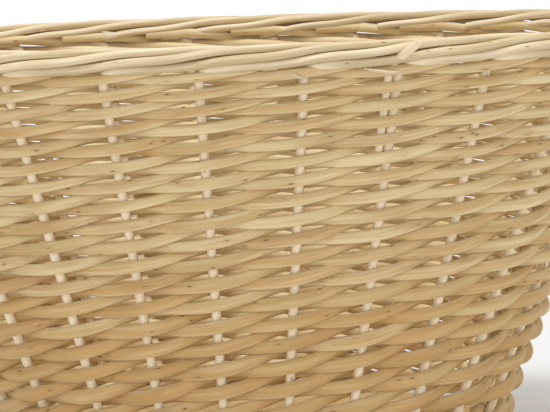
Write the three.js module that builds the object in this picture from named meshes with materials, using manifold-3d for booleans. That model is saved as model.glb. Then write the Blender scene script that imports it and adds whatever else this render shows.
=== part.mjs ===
// Oval willow laundry basket. Stakes stand in the edge of a woven base, lean outwards up the wall and
// turn over at the top to make a rolled border. One tapered weaver starts at each stake and climbs half
// a row at every stake that it passes, outside one and inside the next. A bow handle stands at each end.
// Millimetres, +Z up. The origin is on the floor under the middle of the base, and X is the long way.
import * as THREE from 'three';
import { mergeVertices } from 'three/addons/utils/BufferGeometryUtils.js';
import Module from 'manifold-3d';

const wasm = await Module();
wasm.setup();

// Wall, along the centres of the stakes
const rimLength = 524;
const rimWidth = 370;
const baseLength = 322;
const baseWidth = 227;
const planExponent = 2.4;

// Rods
const stakeCount = 24;
const stakeDiameter = 5.8;
const stakeTopDiameter = 5.4;
const weaverButt = 7.2;
const weaverTip = 4.6;
const weaverSteps = 36;
const weaverLap = 9;
const upsetDiameter = 6;
const clearance = 0.35;

// Base: full thickness over the short sticks, less over the long ones' ends, least between two sticks
const baseThickness = 16;
const baseRidge = 13.5;
const baseEnd = 8.4;
const baseHollow = 5;
const baseCrest = 9;
const baseSlope = 18;
const baseRounding = 3;
const baseCorners = 40;
const longStickDiameter = 7;
const shortStickDiameter = 11;
const shortStickCount = 5;
const stakeFootLength = 24;
const stakeBend = 6;

// Rolled border: how far a stake's end turns about the border's hollow middle, and for how many stakes
const borderTurn = THREE.MathUtils.degToRad(60);
const borderReach = 4;
const borderSlack = 0.5;
const borderBend = 7;
const borderSteps = 8;

// Bow handles
const handleStakes = 3;
const handleRise = 74;
const handleLean = 16;
const handleDiameter = 13;
const handleLegDiameter = 4;
const handleLegDepth = 62;

// Levels from the floor up
const footLevel = baseThickness / 2;
const upsetLevel = footLevel + stakeBend + upsetDiameter + 2 * clearance;
const weaverDiameterAt = (step) => THREE.MathUtils.lerp(weaverButt, weaverTip, step / weaverSteps);
const weaverLevels = [upsetLevel + upsetDiameter + clearance + weaverButt / 2];
for (let step = 1; step <= weaverSteps; step += 1) {
  const rise = (weaverDiameterAt(step - 1) + weaverDiameterAt(step)) / 2 + clearance;
  weaverLevels.push(weaverLevels[step - 1] + rise);
}
const sidingTop = weaverLevels[weaverSteps] + weaverTip / 2;
const borderRadius = stakeTopDiameter + borderSlack;
const borderLevel = sidingTop + clearance + stakeTopDiameter / 2 + borderRadius;

const willow = (color, roughness) => new THREE.MeshStandardMaterial({ color, roughness, metalness: 0 });

// The plan is a superellipse. Stations along it are counted in stake spacings from the +X axis.
const swell = (value) => Math.sign(value) * Math.abs(value) ** (2 / planExponent);

function runningLengths(samples) {
  const point = (angle) => {
    const x = (rimLength / 2) * swell(Math.cos(angle));
    const y = (rimWidth / 2) * swell(Math.sin(angle));
    return new THREE.Vector2(x, y);
  };
  const lengths = [0];
  for (let i = 1; i <= samples; i += 1) {
    const step = point((i / samples) * 2 * Math.PI).distanceTo(point(((i - 1) / samples) * 2 * Math.PI));
    lengths.push(lengths[i - 1] + step);
  }
  return lengths;
}

const planLengths = runningLengths(2880);
const perimeter = planLengths[planLengths.length - 1];
const stakeSpacing = perimeter / stakeCount;

function planAngle(station) {
  const wrapped = ((station % stakeCount) + stakeCount) % stakeCount;
  const wanted = (wrapped / stakeCount) * perimeter;
  let low = 0;
  let high = planLengths.length - 1;
  while (high - low > 1) {
    const middle = (low + high) >> 1;
    if (planLengths[middle] <= wanted) low = middle;
    else high = middle;
  }
  const part = (wanted - planLengths[low]) / (planLengths[high] - planLengths[low]);
  return ((low + part) / (planLengths.length - 1)) * 2 * Math.PI;
}

// The wall is ruled: every stake is a straight line from the base's oval to the rim's.
function wallPoint(station, level) {
  const angle = planAngle(station);
  const share = (level - footLevel) / (sidingTop - footLevel);
  const halfLength = THREE.MathUtils.lerp(baseLength, rimLength, share) / 2;
  const halfWidth = THREE.MathUtils.lerp(baseWidth, rimWidth, share) / 2;
  return new THREE.Vector3(halfLength * swell(Math.cos(angle)), halfWidth * swell(Math.sin(angle)), level);
}

function wallNormal(station, level) {
  const along = wallPoint(station + 0.02, level).sub(wallPoint(station - 0.02, level));
  const upward = wallPoint(station, level + 1).sub(wallPoint(station, level - 1));
  return along.cross(upward).normalize();
}

const outward = (station, level) => wallNormal(station, level).setZ(0).normalize();

// A rod is a run of rings, square to the path, between two flat cut ends. A closed rod has no ends. The
// first corner of each ring faces the reference direction, or follows on from the ring before it.
function rod(points, radii, sides, { reference = null, closed = false } = {}) {
  const count = points.length;
  const spans = points.map((point, i) => points[(i + 1) % count].clone().sub(point).normalize());
  const tangents = points.map((point, i) => {
    if (!closed && i === 0) return spans[0];
    if (!closed && i === count - 1) return spans[count - 2];
    return spans[i].clone().add(spans[(i + count - 1) % count]).normalize();
  });
  const positions = [];
  let first = reference ?? new THREE.Vector3(-tangents[0].y, tangents[0].x, 0);
  points.forEach((point, i) => {
    first = (reference ?? first).clone().projectOnPlane(tangents[i]).normalize();
    const second = tangents[i].clone().cross(first);
    for (let k = 0; k < sides; k += 1) {
      const angle = (2 * Math.PI * k) / sides;
      const corner = point.clone();
      corner.addScaledVector(first, radii[i] * Math.cos(angle));
      corner.addScaledVector(second, radii[i] * Math.sin(angle));
      positions.push(corner.x, corner.y, corner.z);
    }
  });
  const faces = [];
  const runs = closed ? count : count - 1;
  for (let i = 0; i < runs; i += 1) {
    for (let k = 0; k < sides; k += 1) {
      const a = i * sides + k;
      const b = i * sides + ((k + 1) % sides);
      const c = ((i + 1) % count) * sides + k;
      const d = ((i + 1) % count) * sides + ((k + 1) % sides);
      faces.push(a, b, d, a, d, c);
    }
  }
  for (let k = 1; !closed && k < sides - 1; k += 1) {
    const last = (count - 1) * sides;
    faces.push(0, k + 1, k, last, last + k, last + k + 1);
  }
  const geometry = new THREE.BufferGeometry();
  geometry.setAttribute('position', new THREE.Float32BufferAttribute(positions, 3));
  geometry.setIndex(faces);
  geometry.computeVertexNormals();
  return geometry;
}

function toSolid(geometry) {
  const bare = geometry.clone();
  bare.deleteAttribute('normal');
  bare.deleteAttribute('uv');
  const merged = mergeVertices(bare, 1e-4);
  return new wasm.Manifold(
    new wasm.Mesh({
      numProp: 3,
      vertProperties: new Float32Array(merged.attributes.position.array),
      triVerts: new Uint32Array(merged.index.array),
    }),
  );
}

function toGeometry(solid) {
  const mesh = solid.getMesh();
  const geometry = new THREE.BufferGeometry();
  geometry.setAttribute('position', new THREE.Float32BufferAttribute(mesh.vertProperties, 3));
  geometry.setIndex(Array.from(mesh.triVerts));
  geometry.computeVertexNormals();
  return geometry;
}

// Stakes. The foot lies in the base, the rod is pricked up at the base's edge and follows the wall, and
// its end rolls about the border's middle: under it, up the outside, over the top and in.
const stakeRadiusAt = (level) => {
  const share = THREE.MathUtils.clamp((level - footLevel) / (sidingTop - footLevel), 0, 1);
  return THREE.MathUtils.lerp(stakeDiameter, stakeTopDiameter, share) / 2;
};

function borderPoint(station, turn) {
  const point = wallPoint(station, borderLevel);
  point.addScaledVector(outward(station, borderLevel), borderRadius * Math.cos(turn));
  point.z += borderRadius * Math.sin(turn);
  return point;
}

function footEdge(station) {
  return wallPoint(station, footLevel).addScaledVector(outward(station, footLevel), -stakeBend);
}

function footEnd(station) {
  return footEdge(station).addScaledVector(outward(station, footLevel), -stakeFootLength);
}

function stake(index) {
  const station = index + 0.5;
  const foot = footEdge(station);
  const corner = wallPoint(station, footLevel);
  const prick = new THREE.QuadraticBezierCurve3(foot, corner, wallPoint(station, footLevel + stakeBend));
  const under = -Math.PI / 2;
  const turnStart = wallPoint(station, borderLevel - borderRadius - borderBend);
  const turnEnd = borderPoint(station + 0.2, under + 0.2 * borderTurn);
  const turn = new THREE.QuadraticBezierCurve3(turnStart, borderPoint(station, under), turnEnd);
  const points = [footEnd(station), ...prick.getPoints(3), ...turn.getPoints(3)];
  for (let i = 1; i <= borderSteps; i += 1) {
    const passed = (borderReach * i) / borderSteps;
    points.push(borderPoint(station + passed, under + passed * borderTurn));
  }
  const radii = points.map((point) => stakeRadiusAt(point.z));
  return rod(points, radii, 5);
}

// Weavers. At each stake the rod's centre stands clear of the stake by both radii and the clearance.
function weaver(index) {
  const lap = weaverLap / stakeSpacing;
  const points = [];
  const radii = [];
  const pass = (station, step, side) => {
    const level = weaverLevels[step];
    const radius = weaverDiameterAt(step) / 2;
    const reach = side * (stakeRadiusAt(level) + radius + clearance);
    points.push(wallPoint(station, level).addScaledVector(wallNormal(station, level), reach));
    radii.push(radius);
  };
  pass(index + 0.5 - lap, 0, -1);
  for (let step = 0; step <= weaverSteps; step += 1) {
    pass(index + 0.5 + step, step, step % 2 ? 1 : -1);
  }
  pass(index + 0.5 + weaverSteps + lap, weaverSteps, -1);
  return rod(points, radii, 4, { reference: new THREE.Vector3(0, 0, 1) });
}

// Upset: two rods twisted about each other once round the foot of the stakes.
function upsetRod(phase) {
  const points = [];
  const radii = [];
  for (let half = 0; half < 2 * stakeCount; half += 1) {
    const station = half / 2 + 0.5;
    const twist = (half / 2 + phase) * Math.PI;
    const level = upsetLevel + (upsetDiameter / 2 + clearance) * Math.sin(twist);
    const reach = (stakeRadiusAt(level) + upsetDiameter / 2 + clearance) * Math.cos(twist);
    points.push(wallPoint(station, level).addScaledVector(wallNormal(station, level), reach));
    radii.push(upsetDiameter / 2);
  }
  return rod(points, radii, 4, { reference: new THREE.Vector3(0, 0, 1), closed: true });
}

// Base. Two long sticks run through slits in the short ones, and the woven floor is worked round them. It
// is thick where its rods pass over and under a stick, thin between sticks, and leaves the middle bare.
const longStickOffset = (longStickDiameter + clearance) / 2;
const firstStation = 0.75 * stakeCount - (shortStickCount - 1) / 2;
const shortStickStations = Array.from({ length: shortStickCount }, (_, i) => firstStation + i);

const bareLength = footEdge(firstStation + shortStickCount - 1).x + shortStickDiameter / 2 + clearance;
const bareWidth = longStickOffset + longStickDiameter / 2 + clearance;

function stick(diameter, length, axis) {
  const geometry = new THREE.CylinderGeometry(diameter / 2, diameter / 2, length, 6);
  geometry.rotateY(Math.PI / 6);
  if (axis === 'x') geometry.rotateZ(Math.PI / 2);
  return geometry;
}

function longStick(side, grow, reach) {
  const length = 2 * (footEdge(0).x + reach);
  return stick(longStickDiameter + 2 * grow, length, 'x').translate(0, side * longStickOffset, footLevel);
}

function shortStick(station, grow, reach) {
  const end = footEdge(station);
  const length = 2 * (Math.abs(end.y) + reach);
  return stick(shortStickDiameter + 2 * grow, length, 'y').translate(end.x, 0, footLevel);
}

function slitShortStick(station) {
  const slits = toSolid(longStick(-1, clearance, 0)).add(toSolid(longStick(1, clearance, 0)));
  return toGeometry(toSolid(shortStick(station, 0, -1)).subtract(slits));
}

function section(thicknesses) {
  const upper = thicknesses.map(([place, thickness]) => new THREE.Vector2(place, thickness / 2));
  const lower = upper.map((point) => new THREE.Vector2(point.x, -point.y)).reverse();
  return new THREE.Shape([...upper, ...lower]);
}

// The floor's section along the basket: a crest over each short stick and a hollow between two of them.
function acrossSticks() {
  const places = shortStickStations.map((station) => footEdge(station).x);
  const crests = places.flatMap((place, i) => {
    const crest = [-0.5, 0.5].map((side) => [place + side * baseCrest, baseThickness]);
    const hollow = [(place + places[i + 1]) / 2, baseHollow];
    return i + 1 < places.length ? [...crest, hollow] : crest;
  });
  const end = baseLength / 2;
  const slope = places[places.length - 1] + baseSlope;
  const leftEnd = [[-end, baseEnd], [-slope, baseEnd]];
  const rightEnd = [[slope, baseEnd], [end, baseEnd]];
  const outline = section([...leftEnd, ...crests, ...rightEnd]);
  const floor = new THREE.ExtrudeGeometry(outline, { depth: baseWidth, bevelEnabled: false });
  return toSolid(floor.rotateX(Math.PI / 2).translate(0, baseWidth / 2, footLevel));
}

// A ridge over the two long sticks, from the bare middle out past the base's end.
function alongSticks(turn) {
  const crest = bareWidth - clearance;
  const foot = crest + baseSlope / 2;
  const left = [[-foot, baseHollow], [-crest, baseRidge]];
  const right = [[crest, baseRidge], [foot, baseHollow]];
  const outline = section([...left, ...right]);
  const depth = baseLength / 2 - bareLength;
  const ridge = new THREE.ExtrudeGeometry(outline, { depth, bevelEnabled: false });
  ridge.rotateX(Math.PI / 2).rotateZ(Math.PI / 2).translate(bareLength, 0, footLevel);
  return toSolid(ridge.rotateZ(turn));
}

function wovenBase() {
  const corners = Array.from({ length: baseCorners }, (_, i) => {
    const edge = footEdge((i / baseCorners) * stakeCount);
    const x = edge.x * (1 - (2 * baseRounding) / baseLength);
    const y = edge.y * (1 - (2 * baseRounding) / baseWidth);
    return new THREE.Vector2(x, y);
  });
  const outline = new THREE.Shape(corners);
  const slab = new THREE.ExtrudeGeometry(outline, {
    depth: baseThickness - 2 * baseRounding,
    bevelEnabled: true,
    bevelThickness: baseRounding,
    bevelSize: baseRounding,
    bevelSegments: 1,
    curveSegments: 1,
  });
  const woven = acrossSticks().add(alongSticks(0)).add(alongSticks(Math.PI));
  const bare = new THREE.BoxGeometry(2 * bareLength, 2 * bareWidth, 2 * baseThickness);
  let solid = toSolid(slab.translate(0, 0, baseRounding)).intersect(woven);
  solid = solid.subtract(toSolid(bare.translate(0, 0, footLevel)));
  for (const side of [-1, 1]) {
    solid = solid.subtract(toSolid(longStick(side, clearance, 12)));
  }
  for (const station of shortStickStations) {
    solid = solid.subtract(toSolid(shortStick(station, clearance, 12)));
  }
  for (let i = 0; i < stakeCount; i += 1) {
    const inner = footEnd(i + 0.5).addScaledVector(outward(i + 0.5, footLevel), -clearance);
    const outer = footEdge(i + 0.5).addScaledVector(outward(i + 0.5, footLevel), stakeBend);
    const radius = stakeDiameter / 2 + clearance;
    solid = solid.subtract(toSolid(rod([inner, outer], [radius, radius], 5)));
  }
  return toGeometry(solid);
}

// Bow handle over the +X end. Each leg is cut thin, pushed down beside a stake inside the weave, comes up
// through the open inner side of the border and thickens into the bow.
function handle() {
  const legRadius = handleLegDiameter / 2;
  const beside = (legRadius + stakeDiameter / 2 + clearance) / stakeSpacing;
  const inside = borderRadius + stakeTopDiameter / 2 + legRadius + 2 * clearance;
  const leg = (station) => {
    const inWeave = (level) => wallPoint(station, level).lerp(wallPoint(station - 1, level), beside);
    const bypass = inWeave(borderLevel).addScaledVector(outward(station, borderLevel), -inside);
    return [
      { point: inWeave(sidingTop - handleLegDepth), radius: 0.7 * legRadius },
      { point: inWeave(sidingTop - 4), radius: legRadius },
      { point: inWeave(sidingTop + legRadius), radius: legRadius },
      { point: bypass, radius: 1.1 * legRadius },
    ];
  };
  const near = leg(-handleStakes / 2);
  const far = leg(handleStakes / 2);
  const from = near[near.length - 1].point;
  const to = far[far.length - 1].point;
  const bow = [];
  const bowSteps = 12;
  for (let i = 1; i < bowSteps; i += 1) {
    const share = i / bowSteps;
    const point = from.clone().lerp(to, (1 - Math.cos(Math.PI * share)) / 2);
    const arch = Math.sin(Math.PI * share) ** 0.8;
    point.x += handleLean * arch;
    point.z += handleRise * arch;
    const radius = THREE.MathUtils.lerp(1.1 * legRadius, handleDiameter / 2, Math.min(1, 1.6 * arch));
    bow.push({ point, radius });
  }
  const run = [...near, ...bow, ...far.reverse()];
  return rod(run.map((one) => one.point), run.map((one) => one.radius), 6);
}

// Assembly. The basket is the same after half a turn, so one half is made and set twice.
const basket = new THREE.Group();
const two = (number) => String(number).padStart(2, '0');

function place(parent, name, geometry, material) {
  const mesh = new THREE.Mesh(geometry, material);
  mesh.name = name;
  parent.add(mesh);
}

place(basket, 'base_weave', wovenBase(), willow(0xc4a26c, 0.7));
[-1, 1].forEach((side, i) => {
  place(basket, `base_stick_long_${i + 1}`, longStick(side, 0, -1), willow(0xb9935c, 0.75));
});
shortStickStations.forEach((station, i) => {
  place(basket, `base_stick_short_${i + 1}`, slitShortStick(station), willow(0xb9935c, 0.75));
});
[0, 1].forEach((phase) => {
  place(basket, `upset_rod_${phase + 1}`, upsetRod(phase), willow(0xc09a60, 0.65));
});

const halfCount = stakeCount / 2;
const handleBow = handle();
const stakes = Array.from({ length: halfCount }, (_, i) => stake(i));
const weavers = Array.from({ length: halfCount }, (_, i) => weaver(i));
[0, 1].forEach((half) => {
  const side = new THREE.Group();
  side.rotation.z = half * Math.PI;
  basket.add(side);
  stakes.forEach((geometry, i) => {
    place(side, `stake_${two(half * halfCount + i + 1)}`, geometry, willow(0xe0cfa4, 0.55));
  });
  weavers.forEach((geometry, i) => {
    place(side, `weaver_${two(half * halfCount + i + 1)}`, geometry, willow(0xc6a775, 0.6));
  });
  place(side, half ? 'handle_left' : 'handle_right', handleBow, willow(0xd2b887, 0.6));
});

export default basket;
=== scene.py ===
import math

import bpy
import numpy as np
from mathutils import Matrix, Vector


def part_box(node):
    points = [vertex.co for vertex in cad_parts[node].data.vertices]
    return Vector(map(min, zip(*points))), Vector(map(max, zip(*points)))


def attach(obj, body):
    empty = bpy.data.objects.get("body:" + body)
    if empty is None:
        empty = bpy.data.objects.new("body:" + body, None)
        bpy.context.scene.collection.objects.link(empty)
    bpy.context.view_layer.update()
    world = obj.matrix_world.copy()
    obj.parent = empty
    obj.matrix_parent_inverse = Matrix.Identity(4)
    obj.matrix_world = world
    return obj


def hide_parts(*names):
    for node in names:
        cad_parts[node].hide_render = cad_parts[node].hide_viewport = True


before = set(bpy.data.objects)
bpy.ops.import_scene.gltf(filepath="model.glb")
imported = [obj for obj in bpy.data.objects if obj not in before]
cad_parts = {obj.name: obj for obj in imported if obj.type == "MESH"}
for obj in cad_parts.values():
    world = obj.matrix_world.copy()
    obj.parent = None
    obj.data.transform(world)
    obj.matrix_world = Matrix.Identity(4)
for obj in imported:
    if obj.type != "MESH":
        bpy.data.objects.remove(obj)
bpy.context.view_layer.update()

# Base sticks. Seven straight rods of peeled willow. Two long ones lie side by side and run through slits
# split in five short ones, which makes the cross that the floor is woven on.
STICK_SIDES = 16
STICK_RINGS = 24
LONG_STICK_RADIUS = 0.0033
SHORT_STICK_RADIUS = 0.0044
SHORT_STICK_SWELL = 0.06
UP = np.array([0.0, 0.0, 1.0])
GRAIN_PICK = np.array([31.0, 57.0, 93.0])


def linear(red, green, blue):
    """Colour on the 0 to 255 screen scale as linear light: c / 12.92 in the dark, and elsewhere
    ((c + 0.055) / 1.055) to the power 2.4."""
    screen = np.array([red, green, blue]) / 255
    light = np.where(screen <= 0.04045, screen / 12.92, ((screen + 0.055) / 1.055) ** 2.4)
    return (*light.tolist(), 1.0)


def unit(vectors):
    """Vectors divided by their own lengths."""
    return vectors / np.linalg.norm(vectors, axis=-1, keepdims=True)


def run_along(line):
    """Distance along a line of points: the running sum of the steps from each point to the next."""
    return np.concatenate([[0], np.cumsum(np.linalg.norm(np.diff(line, axis=0), axis=1))])


def rod(path, radius, lean, sides, tone, flatten=1.0):
    """Round rod along a path. The tangent is the path's slope; the first spoke is the lean with its share
    along the tangent taken off, and the second is square to both. A surface point is the path's point plus
    the radius times (flattening times cosine times first spoke, sine times second spoke). Tone is a shade
    from 0 to 1. The run is metres along the rod from a start of its own, so no two rods share their grain."""
    tangent = unit(np.gradient(path, axis=0))
    lean = np.broadcast_to(lean, path.shape)
    first = unit(lean - np.sum(lean * tangent, axis=1, keepdims=True) * tangent)
    second = np.cross(tangent, first)
    angle = np.linspace(0, 2 * np.pi, sides, endpoint=False)[None, :, None]
    flatten = np.broadcast_to(flatten, len(path))[:, None, None]
    spokes = flatten * np.cos(angle) * first[:, None] + np.sin(angle) * second[:, None]
    radius = np.broadcast_to(radius, len(path))[:, None, None]
    run = path[0] @ GRAIN_PICK + run_along(path)
    return {"rings": path[:, None] + radius * spokes, "run": run, "tone": np.broadcast_to(tone, len(path))}


def add_piece(name, rods, material, nodes):
    """One object made of rods. Each rod is a grid of quads, run by turn, and the cut at either end has its
    own ring of points. The UV map holds metres along the rod and turns round it; the point attributes hold
    the rod's tone and whether the point is on a cut."""
    points, faces, corners, tones, cuts, smooth = [], [], [], [], [], []
    start = 0
    for one in rods:
        rings, run = one["rings"], one["run"]
        count, sides = rings.shape[:2]
        grid = start + np.arange(count * sides).reshape(count, sides)
        beside = np.roll(grid, -1, axis=1)
        quads = np.stack([grid[:-1], beside[:-1], beside[1:], grid[1:]], axis=-1).reshape(-1, 4)
        turns = np.arange(sides + 1) / sides
        along = np.repeat(run[:, None], sides, axis=1)
        along = np.stack([along[:-1], along[:-1], along[1:], along[1:]], axis=-1)
        around = np.stack([turns[:-1], turns[1:], turns[1:], turns[:-1]], axis=-1)
        around = np.broadcast_to(around, (count - 1, sides, 4))
        points += [rings.reshape(-1, 3), rings[0], rings[-1]]
        near = start + count * sides
        far = near + sides
        faces += quads.tolist()
        faces += [list(range(far - 1, near - 1, -1)), list(range(far, far + sides))]
        corners += [np.stack([along, around], axis=-1).reshape(-1, 2)]
        corners += [np.full((sides, 2), run[0]), np.full((sides, 2), run[-1])]
        tones += [np.repeat(one["tone"], sides), np.repeat(one["tone"][[0, -1]], sides)]
        cuts += [np.zeros(count * sides), np.ones(2 * sides)]
        smooth += [np.ones(len(quads), bool), np.zeros(2, bool)]
        start = far + sides
    mesh = bpy.data.meshes.new(name)
    mesh.from_pydata(np.concatenate(points).tolist(), [], faces)
    mesh.polygons.foreach_set("use_smooth", np.concatenate(smooth))
    corner_places = np.concatenate(corners).ravel().astype(np.float32)
    mesh.uv_layers.new(name="rod").data.foreach_set("uv", corner_places)
    for title, values in (("tone", tones), ("cut", cuts)):
        layer = mesh.attributes.new(title, "FLOAT", "POINT")
        layer.data.foreach_set("value", np.concatenate(values).astype(np.float32))
    mesh.materials.append(material)
    piece = bpy.data.objects.new(name, mesh)
    bpy.context.collection.objects.link(piece)
    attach(piece, "root")
    if nodes:
        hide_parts(*nodes)


class Shade:
    """An output socket in a material. Arithmetic on it adds Math nodes, and add() any other node."""

    def __init__(self, tree, socket=None):
        self.tree = tree
        self.socket = socket

    def add(self, kind, settings, sockets, output=0):
        """Adds a node of a kind: first its settings, then the value or the link of each named socket."""
        node = self.tree.nodes.new(kind)
        for name, value in settings.items():
            setattr(node, name, value)
        for name, value in sockets.items():
            if isinstance(value, Shade):
                self.tree.links.new(value.socket, node.inputs[name])
            else:
                node.inputs[name].default_value = value
        return Shade(self.tree, node.outputs[output]) if node.outputs else node

    def math(self, operation, first, second):
        """One Math node on two values."""
        return self.add("ShaderNodeMath", {"operation": operation}, {0: first, 1: second})

    def __add__(self, other):
        return self.math("ADD", self, other)

    def __radd__(self, other):
        return self.math("ADD", other, self)

    def __sub__(self, other):
        return self.math("SUBTRACT", self, other)

    def __rsub__(self, other):
        return self.math("SUBTRACT", other, self)

    def __mul__(self, other):
        return self.math("MULTIPLY", self, other)

    def __rmul__(self, other):
        return self.math("MULTIPLY", other, self)

    def blend(self, low, high):
        """Colour between two colours, by this value."""
        settings = {"data_type": "RGBA", "clamp_factor": True}
        return self.add("ShaderNodeMix", settings, {0: self, 6: low, 7: high}, output=2)

    def ramp(self, low, high):
        """Smooth rise from 0 to 1 as this value goes from low to high."""
        settings = {"interpolation_type": "SMOOTHSTEP", "clamp": True}
        return self.add("ShaderNodeMapRange", settings, {0: self, 1: low, 2: high, 3: 0.0, 4: 1.0})


OLIVE = linear(198, 174, 112)
SCAR_BROWN = linear(92, 58, 28)
TONE_SHARE = 0.75
STREAK_SHARE = 0.35
SHADE_START = 0.05
OLIVE_SHARE = 0.3
STAIN_SHARE = 0.5
GRAIN_SHARE = 0.16
HALO_SHARE = 0.3
SCAR_SHARE = 0.85
NOISE_ROUGHNESS = 0.55
BUMP_STRENGTH = 0.18
BUMP_DEPTH = 0.0006
WILLOW_SPECULAR = 0.4


def willow(name, pale, plain, deep, cut, roughness, painted_fill_light=0.0, painted_highlight=0.0, stained=1.0):
    """Peeled willow, between a plain and a pale colour by each rod's own tone and by long streaks that run
    with the rod. Olive patches and deep stains come and go along it, and dark bud scars with a halo sit only
    where it is stained; the share stained scales patches and stains. The noise is read on a cylinder (run,
    cosine, sine), so there is no seam. Fine grain, streaks and scars make the bump. Sides that lie on other
    rods or face inwards, where the cosine is near 1 or -1 or the sine is below 0, are painted paler by a
    share of their own: painted light that lifts the shade in the creases between rods and inside the basket.
    The side where the cosine is near 1, out and up on the stakes, is painted paler by another share: a
    painted highlight where the light from above falls."""
    material = bpy.data.materials.new(name)
    material.use_nodes = True
    tree = material.node_tree
    tree.nodes.clear()
    tool = Shade(tree)
    place = tool.add("ShaderNodeUVMap", {"uv_map": "rod"}, {})
    run = tool.add("ShaderNodeSeparateXYZ", {}, {0: place}, output=0)
    turn = tool.add("ShaderNodeSeparateXYZ", {}, {0: place}, output=1) * (2 * math.pi)
    cosine = tool.add("ShaderNodeMath", {"operation": "COSINE"}, {0: turn})
    sine = tool.add("ShaderNodeMath", {"operation": "SINE"}, {0: turn})
    tone = tool.add("ShaderNodeAttribute", {"attribute_name": "tone"}, {}, output=2)
    on_cut = tool.add("ShaderNodeAttribute", {"attribute_name": "cut"}, {}, output=2)

    def spread(lengthwise, crosswise):
        """Coordinates on the rod's cylinder, stretched by a figure along it and one across it."""
        sockets = {0: run * lengthwise, 1: cosine * crosswise, 2: sine * crosswise}
        return tool.add("ShaderNodeCombineXYZ", {}, sockets)

    def noise(lengthwise, crosswise, detail):
        """Noise on the rod's cylinder."""
        sockets = {"Vector": spread(lengthwise, crosswise), "Scale": 1.0, "Detail": detail}
        sockets["Roughness"] = NOISE_ROUGHNESS
        return tool.add("ShaderNodeTexNoise", {"noise_dimensions": "3D"}, sockets)

    streak = noise(lengthwise=22.0, crosswise=1.7, detail=3.0).ramp(0.36, 0.66)
    stain = noise(lengthwise=17.0, crosswise=0.45, detail=2.0).ramp(0.42, 0.7)
    grain = noise(lengthwise=60.0, crosswise=9.0, detail=2.0)
    olive = noise(lengthwise=11.0, crosswise=0.3, detail=1.0).ramp(0.46, 0.64)
    cells = {"voronoi_dimensions": "3D", "feature": "F1"}
    scar_place = {"Vector": spread(lengthwise=75.0, crosswise=0.9), "Scale": 1.0, "Randomness": 1.0}
    scar_near = tool.add("ShaderNodeTexVoronoi", cells, scar_place)
    budded = stain.ramp(0.05, 0.4)
    scar = budded * (1 - scar_near.ramp(0.06, 0.15))
    halo = budded * (1 - scar_near.ramp(0.12, 0.4))
    # Painted light: crease and inward sides are painted paler, to lift the shade that falls there.
    crease_and_inside_mask = cosine * cosine * cosine * cosine + (0 - sine).ramp(0.0, 0.8)
    # Painted highlight: the side facing out and up is painted paler where light from above falls on it.
    lit_side_mask = cosine.ramp(-0.3, 0.9)
    shade = tone * TONE_SHARE + streak * STREAK_SHARE + crease_and_inside_mask * painted_fill_light + lit_side_mask * painted_highlight - SHADE_START
    colour = shade.ramp(0.0, 1.0).blend(plain, pale)
    colour = (olive * (OLIVE_SHARE * stained)).blend(colour, OLIVE)
    colour = (stain * (STAIN_SHARE * stained)).blend(colour, deep)
    colour = (grain.ramp(0.5, 0.75) * GRAIN_SHARE).blend(colour, deep)
    colour = (halo * HALO_SHARE).blend(colour, deep)
    colour = (scar * SCAR_SHARE).blend(colour, SCAR_BROWN)
    colour = on_cut.blend(colour, cut)
    height = grain * 0.5 + streak * 0.3 - scar * 0.8
    bump_sockets = {"Strength": BUMP_STRENGTH, "Distance": BUMP_DEPTH, "Height": height}
    bump = tool.add("ShaderNodeBump", {}, bump_sockets)
    dullness = roughness + stain * 0.12 + scar * 0.15
    sockets = {"Base Color": colour, "Roughness": dullness, "Normal": bump}
    sockets["Specular IOR Level"] = WILLOW_SPECULAR
    shader = tool.add("ShaderNodeBsdfPrincipled", {}, sockets)
    tool.add("ShaderNodeOutputMaterial", {}, {"Surface": shader})
    return material


def stick_path(node, axis):
    """Straight middle line of a CAD stick, from one end of its box to the other."""
    low, high = (np.array(corner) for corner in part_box(node))
    share = np.linspace(0, 1, STICK_RINGS)[:, None]
    middle = (low + high) / 2
    ends = np.where(np.arange(3) == axis, np.stack([low, high]), middle)
    return ends[0] + share * (ends[1] - ends[0])


stick_willow = willow("stick_willow", pale=linear(216, 190, 142), plain=linear(186, 148, 96),
                      deep=linear(150, 108, 62), cut=linear(226, 208, 168), roughness=0.55)
for number in (1, 2):
    node = f"base_stick_long_{number}"
    tone = 0.3 + 0.2 * number
    stick = rod(stick_path(node, axis=0), LONG_STICK_RADIUS, UP, STICK_SIDES, tone)
    add_piece(f"long_stick_{number}", [stick], stick_willow, [node])
for number in range(1, 6):
    node = f"base_stick_short_{number}"
    path = stick_path(node, axis=1)
    swelling = 1 + SHORT_STICK_SWELL * np.cos(np.pi * path[:, 1] / path[-1, 1])
    tone = 0.2 + 0.1 * number
    stick = rod(path, SHORT_STICK_RADIUS * swelling, UP, STICK_SIDES, tone)
    add_piece(f"short_stick_{number}", [stick], stick_willow, [node])

# Base weave. Two thin willow rods are worked side by side from the cross outwards in one oval spiral. At
# each stick one goes over and the other under, and they change places before the next, so that they twist
# about each other.
PLAN_POWER = 2 / 2.4
FLOOR_LEVEL = 0.008
FLOOR_ROWS = 28
FLOOR_ROD_RADIUS = 0.0017
FLOOR_ROD_SIDES = 6
FLOOR_INNER = np.array([0.0830, 0.0092])
FLOOR_EDGE = np.array([0.1590, 0.1115])
FLOOR_STEPS_PER_ROW = 168
FLOOR_CURVE_REACH = 0.003
FLOOR_TWIST = 0.0011
FLOOR_END_SPEED = 12
FLOOR_TONES = (0.1, 0.8)
FLOOR_SEED = 11
outer_stick_boxes = [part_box(f"base_stick_short_{number}") for number in (5, 4)]
OUTER_STICK_PLACES = np.array([(low.x + high.x) / 2 for low, high in outer_stick_boxes])


def swell(value):
    """Superellipse power that keeps the sign: the oval is fuller than an ellipse."""
    return np.sign(value) * np.abs(value) ** PLAN_POWER


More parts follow.
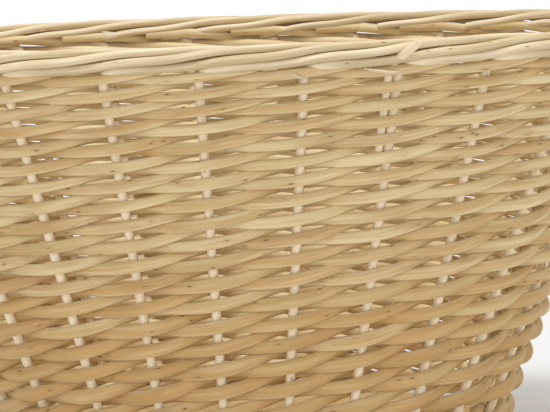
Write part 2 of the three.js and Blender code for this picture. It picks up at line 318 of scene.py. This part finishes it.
def floor_rod(phase):
    """Spiral: half-sizes grow in step with the turns. In each quarter of a turn the twist adds half a turn
    from one crossing to the next, from the end, past two places on the curve, past two short sticks, to
    the middle stick. Height is the crossing's reach times the cosine of the twist, eased at the rod's ends,
    and sideways shift a small reach times its sine."""
    turns = np.linspace(0, FLOOR_ROWS, FLOOR_ROWS * FLOOR_STEPS_PER_ROW + 1)
    share = (turns / FLOOR_ROWS)[:, None]
    half = FLOOR_INNER + share * (FLOOR_EDGE - FLOOR_INNER)
    angle = 2 * np.pi * turns
    quarter = np.floor(angle / (np.pi / 2) + 1e-9)
    fold = angle - quarter * np.pi / 2
    fold = np.where(quarter % 2 == 1, np.pi / 2 - fold, fold)
    sticks = np.arccos(np.clip(OUTER_STICK_PLACES / half[:, :1], 0, 0.999) ** (1 / PLAN_POWER))
    on_curve = sticks[:, :1] * np.array([0, 1 / 3, 2 / 3])
    knots = np.concatenate([on_curve, sticks, 0 * share + np.pi / 2], axis=1)
    passed = np.clip((fold[:, None] - knots[:, :-1]) / np.diff(knots, axis=1), 0, 1)
    over_long = LONG_STICK_RADIUS + FLOOR_ROD_RADIUS
    over_short = SHORT_STICK_RADIUS + FLOOR_ROD_RADIUS
    reach = np.array([over_long] + 2 * [FLOOR_CURVE_REACH] + 3 * [over_short])
    lift = reach[0] + passed @ np.diff(reach)
    quarter_twist = passed.sum(axis=1)
    quarter_twist = np.where(quarter % 2 == 1, len(reach) - 1 - quarter_twist, quarter_twist)
    twist = np.pi * (quarter * (len(reach) - 1) + quarter_twist) + phase
    from_start = np.clip(turns * FLOOR_END_SPEED, 0, 1)
    from_end = np.clip((FLOOR_ROWS - turns) * FLOOR_END_SPEED, 0, 1)
    flat = half + FLOOR_TWIST * np.sin(twist)[:, None]
    height = FLOOR_LEVEL + from_start * from_end * lift * np.cos(twist)
    path = np.stack([flat[:, 0] * swell(np.cos(angle)), flat[:, 1] * swell(np.sin(angle)), height], axis=1)
    chance = np.random.default_rng(FLOOR_SEED + int(phase))
    row_tones = chance.uniform(*FLOOR_TONES, FLOOR_ROWS + 1)
    tone = np.interp(turns, np.arange(FLOOR_ROWS + 1), row_tones)
    return rod(path, FLOOR_ROD_RADIUS, UP, FLOOR_ROD_SIDES, tone)


floor_willow = willow("floor_willow", pale=linear(218, 192, 144), plain=linear(190, 155, 102),
                      deep=linear(158, 118, 70), cut=linear(226, 208, 168), roughness=0.55)
add_piece("floor_weave", [floor_rod(0.0), floor_rod(np.pi)], floor_willow, ["base_weave"])

# Stakes and border. A stake is a pale peeled willow rod. Its butt is cut to a slope, pushed into the floor
# and pricked up at the edge, and it leans out with the wall. Its top is turned down to the right and rolled
# with the next ones into the border: under it, up the outside, over the top, and cut off inside.
STAKES = 24
STAKE_SPACING = 0.0604
RIM_SIZE = np.array([0.524, 0.370])
FOOT_SIZE = np.array([0.322, 0.227])
SIDING_TOP = 0.25795
PLAN_STEPS = 5761
STATION_STEP = 0.02
LEVEL_STEP = 0.001
STAKE_RADIUS = 0.0031
STAKE_BEND = 0.006
STAKE_FOOT = 0.024
STAKE_POINT = 0.15
STAKE_SIDES = 14
STAKE_UNEVEN = 0.02
STAKE_UNEVEN_SPEED = 90
FOOT_RINGS = 8
PRICK_RINGS = 9
RISE_RINGS = 40
TURN_RINGS = 10
BORDER_RINGS = 60
BORDER_RADIUS = 0.0059
BORDER_LEVEL = 0.2650
BORDER_BEND = 0.007
BORDER_TURN = math.radians(60)
BORDER_START = 0.2
BORDER_REACH = 5.15
BORDER_REACH_SPREAD = (-0.5, 0.4)
BORDER_STEP = 0.55
BORDER_FIT = 0.93
BORDER_FIT_SPEED = 8
BORDER_TAPER = 0.16
BORDER_WANDER = 0.05
BORDER_WANDER_SPEED = 2.1
TUCK_LENGTH = 0.8
TUCK_TURN = 0.7
TUCK_SWELL = 0.3
ANY_PHASE = 6.28
# Painted light: a stake's wall part and the tucked end of its roll are painted paler, to lift their shade.
WALL_TONE = 0.95
BORDER_TONES = (-0.2, 0.25)
TONE_LEAD = 0.012
TONE_BLEND = 0.03
TAIL_TONE = 0.55
TAIL_START = 0.6
TAIL_BLEND = 0.25
STAKE_SEED = 24
STAKE_SHIFT = 0.03
STAKE_SHIFTS = {17: (-0.03, 0.02), 18: (-0.02, -0.01), 19: (0.0, 0.05), 20: (0.05, 0.015), 21: (0.14, -0.03)}

plan_angles = np.linspace(0, 2 * np.pi, PLAN_STEPS)
rim_plan = np.stack([swell(np.cos(plan_angles)), swell(np.sin(plan_angles))], axis=1) * RIM_SIZE / 2
rim_run = run_along(rim_plan)


def wall_point(station, level):
    """Point on the wall's middle. The station, counted in stake spacings round the rim from +X, gives the
    oval's angle by arc length; the level sets the oval's size between the floor's and the rim's."""
    station, level = np.broadcast_arrays(np.asarray(station, float), np.asarray(level, float))
    angle = np.interp(station % STAKES / STAKES * rim_run[-1], rim_run, plan_angles)
    share = ((level - FLOOR_LEVEL) / (SIDING_TOP - FLOOR_LEVEL))[..., None]
    half = (FOOT_SIZE + share * (RIM_SIZE - FOOT_SIZE)) / 2
    flat = half * np.stack([swell(np.cos(angle)), swell(np.sin(angle))], axis=-1)
    return np.concatenate([flat, level[..., None]], axis=-1)


def wall_ways(station, level):
    """Unit directions on the wall: along it to the right seen from outside, out of it, and flat outwards."""
    along = unit(wall_point(station + STATION_STEP, level) - wall_point(station - STATION_STEP, level))
    upward = wall_point(station, level + LEVEL_STEP) - wall_point(station, level - LEVEL_STEP)
    out = unit(np.cross(along, upward))
    return along, out, unit(out * np.array([1, 1, 0]))


def border_point(station, turn, radius):
    """Point on the border's roll: from its hollow middle, the radius times cosine outwards and sine
    upwards."""
    flat_out = wall_ways(station, BORDER_LEVEL)[2]
    around = radius * (np.cos(turn)[..., None] * flat_out + np.sin(turn)[..., None] * UP)
    return wall_point(station, BORDER_LEVEL) + around


def bend(start, corner, end, count):
    """Quadratic curve from start to end that sets out for the corner: weights (1-t)^2, 2t(1-t) and t^2."""
    t = np.linspace(0, 1, count)[:, None]
    return (1 - t) ** 2 * start + 2 * t * (1 - t) * corner + t ** 2 * end


def stake(station, shifts, reach, chance):
    """Foot, prick-up, straight run up the wall, turn, and the roll whose angle goes on by a sixth of a turn
    for each stake passed, faster just beside the stakes than between them, with the last of it tucked down.
    The shifts are how far the stake stands off its place at the foot and at the rim, in stake spacings. The
    tone is painted pale in the wall, painted light that makes up for the shade between the weavers; it goes
    over to one of the stake's own in the border, and is painted pale again at the end of the roll, painted
    light that lifts the shade inside the border."""
    low_station, station = station + np.array(shifts)
    flat_out = wall_ways(low_station, FLOOR_LEVEL)[2]
    corner = wall_point(low_station, FLOOR_LEVEL)
    foot = corner - STAKE_BEND * flat_out
    foot_end = foot - STAKE_FOOT * flat_out
    roll = np.linspace(BORDER_START, reach, BORDER_RINGS)
    turn = -np.pi / 2 + BORDER_TURN * (roll + BORDER_STEP * np.sin(2 * np.pi * roll) / (2 * np.pi))
    tuck = np.clip((roll - reach + TUCK_LENGTH) / TUCK_LENGTH, 0, 1) ** 2
    turn = turn + chance.uniform(0.0, TUCK_TURN) * tuck
    wander = 1 + BORDER_WANDER * np.sin(roll * BORDER_WANDER_SPEED + chance.uniform(0, ANY_PHASE))
    wander = wander + chance.uniform(0.0, TUCK_SWELL) * tuck
    tail = border_point(station + roll, turn, (BORDER_RADIUS * wander)[:, None])
    under = border_point(np.array(station), np.array(-np.pi / 2), BORDER_RADIUS)
    turn_start = wall_point(station, BORDER_LEVEL - BORDER_RADIUS - BORDER_BEND)
    prick_end = wall_point(low_station, FLOOR_LEVEL + STAKE_BEND)
    rise = np.linspace(0, 1, RISE_RINGS)[1:-1, None]
    path = np.concatenate([
        np.linspace(foot_end, foot, FOOT_RINGS)[:-1],
        bend(foot, corner, prick_end, PRICK_RINGS),
        prick_end + rise * (turn_start - prick_end),
        bend(turn_start, under, tail[0], TURN_RINGS),
        tail[1:],
    ])
    run = run_along(path)
    slope = np.clip(run / STAKE_FOOT, STAKE_POINT, 1)
    past_turn = run - run[-len(tail)]
    rolled = np.clip(past_turn / past_turn[-1], 0, 1)
    fit = 1 + np.clip(rolled * BORDER_FIT_SPEED, 0, 1) * (BORDER_FIT - 1) - BORDER_TAPER * rolled
    uneven = 1 + STAKE_UNEVEN * np.sin(run * STAKE_UNEVEN_SPEED + chance.uniform(0, ANY_PHASE))
    along, _, outward = wall_ways(station + np.clip(past_turn, 0, None) / STAKE_SPACING, FLOOR_LEVEL)
    lean = along + outward + UP
    # Painted light: the wall part is painted paler than the border part, to make up for the weavers' shade.
    in_border = np.clip((past_turn + TONE_LEAD) / TONE_BLEND, 0, 1)
    tone = WALL_TONE + in_border * (chance.uniform(*BORDER_TONES) - WALL_TONE)
    # Painted light: the tucked end of the roll is painted paler, to lift the shade inside the border.
    tone = tone + TAIL_TONE * np.clip((rolled - TAIL_START) / TAIL_BLEND, 0, 1)
    return rod(path, STAKE_RADIUS * slope * fit * uneven, lean, STAKE_SIDES, tone)


# Painted highlight: the stakes' side that faces out and up is painted paler where light from above falls.
stake_willow = willow("stake_willow", pale=linear(248, 230, 201), plain=linear(197, 177, 138),
                      deep=linear(188, 160, 114), cut=linear(230, 214, 180), roughness=0.5,
                      painted_highlight=0.28, stained=0.4)
chance = np.random.default_rng(STAKE_SEED)
for number in range(1, STAKES + 1):
    shifts = STAKE_SHIFTS.get(number, chance.uniform(-STAKE_SHIFT, STAKE_SHIFT, 2))
    reach = BORDER_REACH + chance.uniform(*BORDER_REACH_SPREAD)
    one = stake(number - 0.5, shifts, reach, chance)
    add_piece(f"border_stake_{number:02d}", [one], stake_willow, [f"stake_{number:02d}"])

# Spare rod and loose ends. One front stake has a second rod pushed in beside it, a few rows down from the
# border, which comes out between the border's rods and is cut off short. Two sloped ends of border rods
# stick out below. All are the stakes' willow.
SPARE_RADIUS = 0.0027
SPARE_RINGS = 60
SPARE_TONE = 0.8
SPARE_STATIONS = np.array([19.413, 19.414, 19.417, 19.445, 19.525, 19.580, 19.635])
SPARE_LEVELS = np.array([0.203, 0.230, 0.2555, 0.2600, 0.2645, 0.2683, 0.2718])
SPARE_OFFSETS = np.array([0, 0, 0.0005, 0.0030, 0.0085, 0.0104, 0.0104])
END_STATIONS = np.array([[19.14, 19.26, 19.40, 19.50], [18.34, 18.41, 18.47, 18.52]])
END_LEVELS = np.array([[0.2560, 0.2545, 0.2532, 0.2536], [0.2555, 0.2540, 0.2528, 0.2520]])
END_OFFSETS = np.array([[0.0045, 0.0075, 0.0088, 0.0086], [0.0045, 0.0073, 0.0085, 0.0086]])
END_TIP_RADIUS = 0.0004
END_SWELL = 0.0008
END_RINGS = 30
END_SIDES = 10
END_TONE = 0.3
END_FLATTEN = 1.2
SMOOTHINGS = 6


def smooth_line(corners, count):
    """Evenly spaced points along a line of corners, each averaged a few times with its two neighbours, and
    the distance along the line."""
    run = run_along(corners)
    even = np.linspace(0, run[-1], count)
    line = np.stack([np.interp(even, run, corners[:, axis]) for axis in range(3)], axis=1)
    for _ in range(SMOOTHINGS):
        line[1:-1] = (line[:-2] + 2 * line[1:-1] + line[2:]) / 4
    return line, even


def off_wall(stations, levels, offsets):
    """Points of the wall's middle moved outwards by the offsets."""
    return wall_point(stations, levels) + offsets[:, None] * wall_ways(stations, levels)[2]


spare_line = smooth_line(off_wall(SPARE_STATIONS, SPARE_LEVELS, SPARE_OFFSETS), SPARE_RINGS)[0]
spare = rod(spare_line, SPARE_RADIUS, np.array([1.0, 0, 0]), STAKE_SIDES, SPARE_TONE)
add_piece("spare_rod", [spare], stake_willow, [])
end_radius = END_TIP_RADIUS + END_SWELL * np.sin(np.pi * np.linspace(0.05, 0.95, END_RINGS))
loose_ends = []
for stations, levels, offsets in zip(END_STATIONS, END_LEVELS, END_OFFSETS):
    line = smooth_line(off_wall(stations, levels, offsets), END_RINGS)[0]
    loose_ends.append(rod(line, end_radius, UP, END_SIDES, END_TONE, END_FLATTEN))
add_piece("loose_ends", loose_ends, stake_willow, [])

# Upset. Two willow rods are worked round the foot of the stakes to hold them upright. They twist about each
# other: one passes outside a stake while the other passes inside it, and they change over before the next.
UPSET_LEVEL = 0.0207
UPSET_RADIUS = 0.0039
UPSET_TWIST = 0.0037
UPSET_BITE = 0.8
UPSET_LAP = 0.4
UPSET_SIDES = 12
UPSET_RINGS_PER_STAKE = 14


def upset_rod(phase):
    """Twist of half a turn for each stake, once round and a little on: its cosine sets the rod outside or
    inside, its sine up or down."""
    station = np.linspace(0.5, STAKES + 0.5 + UPSET_LAP, STAKES * UPSET_RINGS_PER_STAKE)
    twist = np.pi * (station - 0.5 + phase)
    level = UPSET_LEVEL + UPSET_TWIST * np.sin(twist)
    out = wall_ways(station, level)[1]
    reach = STAKE_RADIUS + UPSET_BITE * UPSET_RADIUS
    path = wall_point(station, level) + reach * np.cos(twist)[:, None] * out
    tone = 0.35 + 0.25 * np.sin(station * 0.7 + phase)
    return rod(path, UPSET_RADIUS, UP, UPSET_SIDES, tone)


# Painted light: the weavers' and upset's crease and inward sides are painted paler, to lift the shade.
weaver_willow = willow("weaver_willow", pale=linear(228, 207, 162), plain=linear(199, 159, 102),
                       deep=linear(178, 136, 82), cut=linear(232, 214, 174), roughness=0.5, painted_fill_light=0.62)
for number in (1, 2):
    rods = [upset_rod(float(number - 1))]
    add_piece(f"upset_{number}", rods, weaver_willow, [f"upset_rod_{number}"])

# Weavers. One tapered rod is started at each stake, thick end first and inside the wall. Every rod goes
# outside the next stake, inside the one after, and climbs half a row at each, so the rods lie packed on one
# another. They are the upset's willow.
WEAVER_STEPS = 36
WEAVER_START = 0.42
WEAVER_END = 0.50
WEAVER_SETTLE = 0.0018
WEAVER_BUTT = 0.0072
WEAVER_TIP = 0.0046
WEAVER_SWELL = 0.0018
WEAVER_SPREAD = (0.94, 1.06)
WEAVER_UNEVEN = 0.03
WEAVER_UNEVEN_SPEED = 1.3
WEAVER_WANDERS = ((0.8, 0.00022), (1.9, 0.00022), (3.3, 0.00012))
WEAVER_SQUASH = 0.08
WEAVER_DEPTH = 0.72
WEAVER_BITE = 0.45
WEAVER_SLIM = 0.17
WEAVER_GAP = 0.00035
WEAVER_SIDES = 14
WEAVER_RINGS_PER_STAKE = 14
WEAVER_TONES = (-0.35, 0.25)
WEAVER_SEED = 7
UPSET_HEIGHT = 0.006
FRONT_STATION = 18
ROW_LIFT = 0.0055
ROW_TILT = 0.0050
ROW_TILT_START = 5
LOOSE_MEAN = 0.65
LOOSE_RANGE = 0.35
LOW_ROWS = 1 / 3
LOW_SWELL = 0.13
LOW_SWELL_LESS = 0.08
BACK_SWELL = 0.12
PALE_START = 0.1
PALE_BLEND = 0.4
PALE_TONE = 0.6

weaver_sizes = np.linspace(WEAVER_BUTT, WEAVER_TIP, WEAVER_STEPS + 1)
weaver_rises = (weaver_sizes[1:] + weaver_sizes[:-1]) / 2 + WEAVER_GAP
first_level = UPSET_LEVEL + UPSET_HEIGHT + WEAVER_GAP + WEAVER_BUTT / 2
weaver_levels = first_level + np.concatenate([[0], np.cumsum(weaver_rises)])


def eased(share):
    """Smooth rise from 0 to 1: three times the square less twice the cube."""
    return share * share * (3 - 2 * share)


def weaver(start, chance):
    """At s stakes passed, the rod stands off the wall by a reach times the cosine of half a turn for each
    stake, inside at even counts and outside at odd ones; both ends run on inside. Its level follows the
    packed rows, which rise a little more towards the rim and tilt a little round the basket, with a slow
    wander of its own, and its start settles on the upset. The rod is taller than it is thick in and out. Its
    height is squashed between stakes and slimmer where it passes inside one, most at the front, where the
    weave is loose; it is fuller in the low rows and at the back. Its tone pales towards the rim."""
    rings = WEAVER_STEPS * WEAVER_RINGS_PER_STAKE + 1
    passed = np.linspace(-WEAVER_START, WEAVER_STEPS + WEAVER_END, rings)
    station = start + passed
    share = np.clip(passed / WEAVER_STEPS, 0, 1)
    stakes_passed = np.arange(WEAVER_STEPS + 1)
    from_front = 2 * np.pi * (station - FRONT_STATION) / STAKES
    level = np.interp(passed, stakes_passed, weaver_levels) + ROW_LIFT * share
    level = level - WEAVER_SETTLE * np.clip(1 - passed, 0, 1)
    middle_rows = np.clip(passed / ROW_TILT_START, 0, 1) * (1 - share)
    level = level + ROW_TILT * middle_rows * np.sin(from_front)
    for speed, height in WEAVER_WANDERS:
        level = level + height * np.sin(speed * passed + chance.uniform(0, ANY_PHASE))
    size = np.interp(passed, stakes_passed, weaver_sizes)
    radius = (size + WEAVER_SWELL) / 2 * chance.uniform(*WEAVER_SPREAD)
    uneven = np.sin(WEAVER_UNEVEN_SPEED * passed + chance.uniform(0, ANY_PHASE))
    radius = radius * (1 + WEAVER_UNEVEN * uneven)
    loose = LOOSE_MEAN + LOOSE_RANGE * np.cos(from_front)
    low_rows = np.clip(1 - share / LOW_ROWS, 0, 1)
    fuller = (LOW_SWELL - LOW_SWELL_LESS * loose) * low_rows + BACK_SWELL * (1 - loose) * (1 - low_rows)
    radius = radius * (1 + fuller)
    slim = WEAVER_SLIM * np.clip(np.cos(np.pi * passed), 0, 1)
    flatten = (1 - loose * (WEAVER_SQUASH * np.sin(np.pi * passed) ** 2 + slim)) / WEAVER_DEPTH
    reach = STAKE_RADIUS + WEAVER_BITE * radius
    weave = np.cos(np.pi * np.clip(passed, 0, WEAVER_STEPS))
    out = wall_ways(station, level)[1]
    path = wall_point(station, level) - (reach * weave)[:, None] * out
    paler = eased(np.clip((share - PALE_START) / PALE_BLEND, 0, 1))
    tone = np.clip(chance.uniform(*WEAVER_TONES) + PALE_TONE * paler, 0, 1)
    return rod(path, radius * WEAVER_DEPTH, UP, WEAVER_SIDES, tone, flatten)


chance = np.random.default_rng(WEAVER_SEED)
for number in range(1, STAKES + 1):
    one = weaver(number - 0.5, chance)
    add_piece(f"weaver_rod_{number:02d}", [one], weaver_willow, [f"weaver_{number:02d}"])

# Handles. A willow bow at each end, its legs pushed down beside two stakes. Thin rods are wound round it like
# a rope, and their ends are tucked in beside the legs under the border.
HANDLE_STAKES = 3
HANDLE_RISE = 0.074
HANDLE_LEAN = 0.016
HANDLE_ARCH = 0.8
HANDLE_CORNERS = 25
HANDLE_RINGS = 240
HANDLE_CORE_RADIUS = 0.0028
HANDLE_CORE_SIDES = 10
HANDLE_LEG_RADIUS = 0.0020
HANDLE_LEG_DEPTH = 0.062
HANDLE_LEG_POINT = 0.45
HANDLE_LEG_TAPER = 0.05
HANDLE_STEP_IN = 0.004
HANDLE_SWELL_RISE = 0.03
HANDLE_SIDE_TILT = 0.3
HANDLE_STRANDS = 6
HANDLE_WRAPS = 3.5
STRAND_RADIUS = 0.0019
STRAND_SIDES = 8
STRAND_START = 0.058
STRAND_BITE = 0.0004
STRAND_LEG_REACH = 0.0012
STRAND_LEG_SHARE = 0.55


def handle_line():
    """Middle line of the bow over the +X end: straight legs in the wall, a step in past the border, and an
    arch that goes from leg to leg by (1 - cosine)/2 and rises and leans by sine to the power 0.8."""
    beside = HANDLE_LEG_RADIUS + STAKE_RADIUS + WEAVER_GAP
    inside = BORDER_RADIUS + STAKE_RADIUS + HANDLE_LEG_RADIUS + 2 * WEAVER_GAP
    in_wall = SIDING_TOP + np.array([-HANDLE_LEG_DEPTH, -HANDLE_STEP_IN, HANDLE_LEG_RADIUS])
    levels = np.append(in_wall, BORDER_LEVEL)
    legs = []
    for station in (-HANDLE_STAKES / 2, HANDLE_STAKES / 2):
        at_stake = wall_point(station, levels)
        leg = at_stake + (wall_point(station - 1, levels) - at_stake) * beside / STAKE_SPACING
        leg[-1] -= inside * wall_ways(station, BORDER_LEVEL)[2]
        legs.append(leg)
    share = np.linspace(0, 1, HANDLE_CORNERS)[1:-1, None]
    arch = np.sin(np.pi * share) ** HANDLE_ARCH
    bow = legs[0][-1] + (legs[1][-1] - legs[0][-1]) * (1 - np.cos(np.pi * share)) / 2
    bow = bow + arch * np.array([HANDLE_LEAN, 0, HANDLE_RISE])
    return smooth_line(np.concatenate([legs[0], bow, legs[1][::-1]]), HANDLE_RINGS)


def handle_rods(turned):
    """Core along the middle line, and strands on a helix about it whose reach swells from the legs to the
    bow. The other handle is this one turned by half a turn about the basket's upright axis."""
    line, run = handle_line()
    whole = run[-1]
    if turned:
        line = line * np.array([-1, -1, 1])
    swelling = eased(np.clip((line[:, 2] - BORDER_LEVEL) / HANDLE_SWELL_RISE, 0, 1))
    tangent = unit(np.gradient(line, axis=0))
    side = unit(np.cross(tangent, np.array([-1.0 if turned else 1.0, 0, HANDLE_SIDE_TILT])))
    other = np.cross(tangent, side)
    point = np.clip(np.minimum(run, whole - run) / HANDLE_LEG_TAPER, HANDLE_LEG_POINT, 1)
    core = HANDLE_LEG_RADIUS + swelling * (HANDLE_CORE_RADIUS - HANDLE_LEG_RADIUS)
    rods = [rod(line, core * point, side, HANDLE_CORE_SIDES, 0.5)]
    wound = (run > STRAND_START) & (run < whole - STRAND_START)
    bow_reach = HANDLE_CORE_RADIUS + STRAND_RADIUS - STRAND_BITE
    reach = (STRAND_LEG_REACH + swelling * (bow_reach - STRAND_LEG_REACH))[:, None]
    thin = STRAND_RADIUS * (STRAND_LEG_SHARE + (1 - STRAND_LEG_SHARE) * swelling)
    for strand in range(HANDLE_STRANDS):
        turn = (2 * np.pi * (strand / HANDLE_STRANDS + HANDLE_WRAPS * run / whole))[:, None]
        path = line + reach * (np.cos(turn) * side + np.sin(turn) * other)
        tone = 0.25 + 0.12 * strand
        rods.append(rod(path[wound], thin[wound], side[wound], STRAND_SIDES, tone))
    return rods


handle_willow = willow("handle_willow", pale=linear(228, 206, 162), plain=linear(202, 170, 118),
                       deep=linear(170, 130, 80), cut=linear(232, 214, 174), roughness=0.5)
add_piece("handle_bow_right", handle_rods(False), handle_willow, ["handle_right"])
add_piece("handle_bow_left", handle_rods(True), handle_willow, ["handle_left"])

# Floor and light. A plain pale floor under the basket that fades to white further out, white surroundings, a
# broad soft lamp in front and a smaller, stronger one above.
FLOOR_HALF = 12.0
FLOOR_FADE = (0.4, 2.2)
FLOOR_GREY = (0.82, 0.82, 0.81, 1)
FLOOR_ROUGHNESS = 0.9
WHITE = (1, 1, 1, 1)
AMBIENT = 0.77


def shown(tool):
    """1 for a ray from the camera, a reflection or glass, and 0 for one that only carries light."""
    rays = [tool.add("ShaderNodeLightPath", {}, {}, output=name)
            for name in ("Is Camera Ray", "Is Glossy Ray", "Is Transmission Ray")]
    either = tool.math("MAXIMUM", rays[0], rays[1])
    return tool.math("MAXIMUM", either, rays[2])


floor_paint = bpy.data.materials.new("floor_paint")
floor_paint.use_nodes = True
floor_paint.node_tree.nodes.clear()
paint = Shade(floor_paint.node_tree)
floor_place = paint.add("ShaderNodeTexCoord", {}, {}, output="Object")
floor_distance = paint.add("ShaderNodeVectorMath", {"operation": "LENGTH"}, {0: floor_place}, output="Value")
plain_sockets = {"Base Color": FLOOR_GREY, "Roughness": FLOOR_ROUGHNESS}
plain_paint = paint.add("ShaderNodeBsdfPrincipled", {}, plain_sockets)
white_paint = paint.add("ShaderNodeEmission", {}, {"Color": WHITE, "Strength": 1.0})
fade = floor_distance.ramp(*FLOOR_FADE) * shown(paint)
faded_paint = paint.add("ShaderNodeMixShader", {}, {0: fade, 1: plain_paint, 2: white_paint})
paint.add("ShaderNodeOutputMaterial", {}, {"Surface": faded_paint})

floor_corners = FLOOR_HALF * np.array([[-1, -1, 0], [1, -1, 0], [1, 1, 0], [-1, 1, 0]])
floor_mesh = bpy.data.meshes.new("studio_floor")
floor_mesh.from_pydata(floor_corners.tolist(), [], [(0, 1, 2, 3)])
floor_mesh.materials.append(floor_paint)
studio_floor = bpy.data.objects.new("studio_floor", floor_mesh)
bpy.context.collection.objects.link(studio_floor)

world = bpy.data.worlds.new("studio")
bpy.context.scene.world = world
world.use_nodes = True
world.node_tree.nodes.clear()
sky = Shade(world.node_tree)
sky_strength = AMBIENT + shown(sky) * (1 - AMBIENT)
backdrop = sky.add("ShaderNodeBackground", {}, {"Color": WHITE, "Strength": sky_strength})
sky.add("ShaderNodeOutputWorld", {}, {"Surface": backdrop})


def add_lamp(name, place, target, size, power):
    """Square area lamp that faces its target and isn't seen itself."""
    lamp = bpy.data.lights.new(name, "AREA")
    lamp.size = size
    lamp.energy = power
    lamp_object = bpy.data.objects.new(name, lamp)
    bpy.context.collection.objects.link(lamp_object)
    back = unit(np.array(place, float) - np.array(target, float))
    right = unit(np.cross(UP, back))
    spin = np.eye(4)
    spin[:3, :3] = np.stack([right, np.cross(back, right), back], axis=1)
    spin[:3, 3] = place
    lamp_object.matrix_world = Matrix(spin.tolist())
    lamp_object.visible_camera = False


add_lamp("front", place=(-0.4, -2.5, 0.6), target=(0, -0.1, 0.17), size=1.6, power=7.5)
add_lamp("above", place=(0.1, -0.45, 2.2), target=(0, 0, 0.17), size=0.7, power=23.0)

# Camera. A long lens that looks a little down on the middle of the front side from above the rim, turned
# slightly to the right and tilted a little.
CAMERA_PLACE = np.array([-0.0695, -2.2479, 0.3880])
CAMERA_YAW = math.radians(2.292)
CAMERA_PITCH = math.radians(-5.916)
CAMERA_ROLL = math.radians(-1.776)
CAMERA_LENS = 222.88
CAMERA_SENSOR = 36.0

camera = bpy.data.cameras.new("camera")
camera.lens = CAMERA_LENS
camera.sensor_width = CAMERA_SENSOR
camera_object = bpy.data.objects.new("camera", camera)
bpy.context.collection.objects.link(camera_object)
level_forward = np.array([math.sin(CAMERA_YAW), math.cos(CAMERA_YAW), 0])
forward = math.cos(CAMERA_PITCH) * level_forward + math.sin(CAMERA_PITCH) * UP
level_right = np.array([math.cos(CAMERA_YAW), -math.sin(CAMERA_YAW), 0])
level_up = np.cross(level_right, forward)
right = math.cos(CAMERA_ROLL) * level_right + math.sin(CAMERA_ROLL) * level_up
upward = np.cross(right, forward)
stand = np.eye(4)
stand[:3, :3] = np.stack([right, upward, -forward], axis=1)
stand[:3, 3] = CAMERA_PLACE
camera_object.matrix_world = Matrix(stand.tolist())
scene = bpy.context.scene
scene.camera = camera_object
scene.view_settings.view_transform = "Standard"

bpy.context.view_layer.update()
